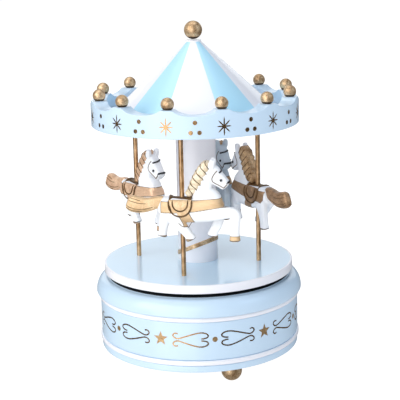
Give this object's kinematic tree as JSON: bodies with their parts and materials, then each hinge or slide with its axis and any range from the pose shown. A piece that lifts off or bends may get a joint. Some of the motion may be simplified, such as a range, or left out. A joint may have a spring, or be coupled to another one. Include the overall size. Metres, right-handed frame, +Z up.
{
  "type": "carousel music box",
  "caption": "Round painted wooden music box with a turning platform of horses on gold rods, a central column and a scalloped canopy with a striped cone roof and ball finial.",
  "frame": {"origin": "on the surface that the feet stand on, under the middle of the base", "axes": "+Z up along the carousel's axis; -Y is the front"},
  "size_m": [0.105, 0.107, 0.1725],
  "materials": {
    "blue_wood": "satin pale blue lacquer",
    "glossy_blue": "glossy light blue lacquer with a white edge",
    "white_wood": "satin white lacquer",
    "gold_wood": "metallic gold paint",
    "gold_rod": "metallic gold paint on a turned rod",
    "cover_board": "bare fibreboard",
    "steel": "bright steel",
    "brass": "bright brass",
    "zinc": "zinc plated"
  },
  "bodies": {
    "base": {"base_drum": "blue_wood", "bottom_cover": "cover_board", "cover_screw_1": "steel", "cover_screw_2": "steel", "cover_screw_3": "steel", "foot_1": "gold_wood", "foot_2": "gold_wood", "foot_3": "gold_wood", "movement_bedplate": "zinc", "movement_screw_1": "steel", "movement_screw_2": "steel", "movement_screw_3": "steel", "spring_housing": "brass", "mainspring": "steel", "comb_block": "zinc", "comb": "steel", "comb_screw_1": "steel", "comb_screw_2": "steel", "cylinder_near_bearing": "zinc", "cylinder_far_bearing": "zinc", "governor_frame": "zinc"},
    "carousel": {"winding_arbor": "steel", "great_gear": "brass", "hub_flange": "brass", "platform": "glossy_blue", "column": "white_wood", "canopy_disc": "white_wood", "canopy_rim": "blue_wood", "roof_cone": "white_wood", "roof_finial": "gold_wood", "pole_1": "gold_rod", "pole_2": "gold_rod", "pole_3": "gold_rod", "pole_4": "gold_rod", "horse_1": "white_wood", "horse_2": "white_wood", "horse_3": "white_wood", "horse_4": "white_wood", "rim_ball_1": "gold_wood", "rim_ball_2": "gold_wood", "rim_ball_3": "gold_wood", "rim_ball_4": "gold_wood", "rim_ball_5": "gold_wood", "rim_ball_6": "gold_wood", "rim_ball_7": "gold_wood", "rim_ball_8": "gold_wood", "rim_ball_9": "gold_wood", "rim_ball_10": "gold_wood", "rim_ball_11": "gold_wood", "rim_ball_12": "gold_wood"},
    "cylinder": {"pin_cylinder": "brass", "cylinder_pinion": "brass", "cylinder_wheel": "brass"},
    "intermediate": {"intermediate_arbor": "steel", "intermediate_wheel": "brass"},
    "governor": {"governor_worm": "steel", "governor_fan": "brass"}
  },
  "joints": [
    {"name": "platform_turn", "type": "hinge", "parent": "base", "child": "carousel", "pos_m": [0, 0, 0.05], "axis": [0, 0, 1], "continuous": true},
    {"name": "cylinder_turn", "type": "hinge", "parent": "base", "child": "cylinder", "pos_m": [0.01979, -0.00289, 0.0215], "axis": [0.9895, -0.1444, 0], "continuous": true},
    {"name": "intermediate_turn", "type": "hinge", "parent": "base", "child": "intermediate", "pos_m": [0.02597, -0.01592, 0.0215], "axis": [0.9895, -0.1444, 0], "continuous": true},
    {"name": "governor_turn", "type": "hinge", "parent": "base", "child": "governor", "pos_m": [0.02358, -0.02264, 0.026], "axis": [0, 0, 1], "continuous": true}
  ],
  "couplings": [
    {"joint": "cylinder_turn", "follows": "platform_turn", "ratio": 2.5},
    {"joint": "intermediate_turn", "follows": "platform_turn", "ratio": -3.8},
    {"joint": "governor_turn", "follows": "platform_turn", "ratio": 19}
  ]
}
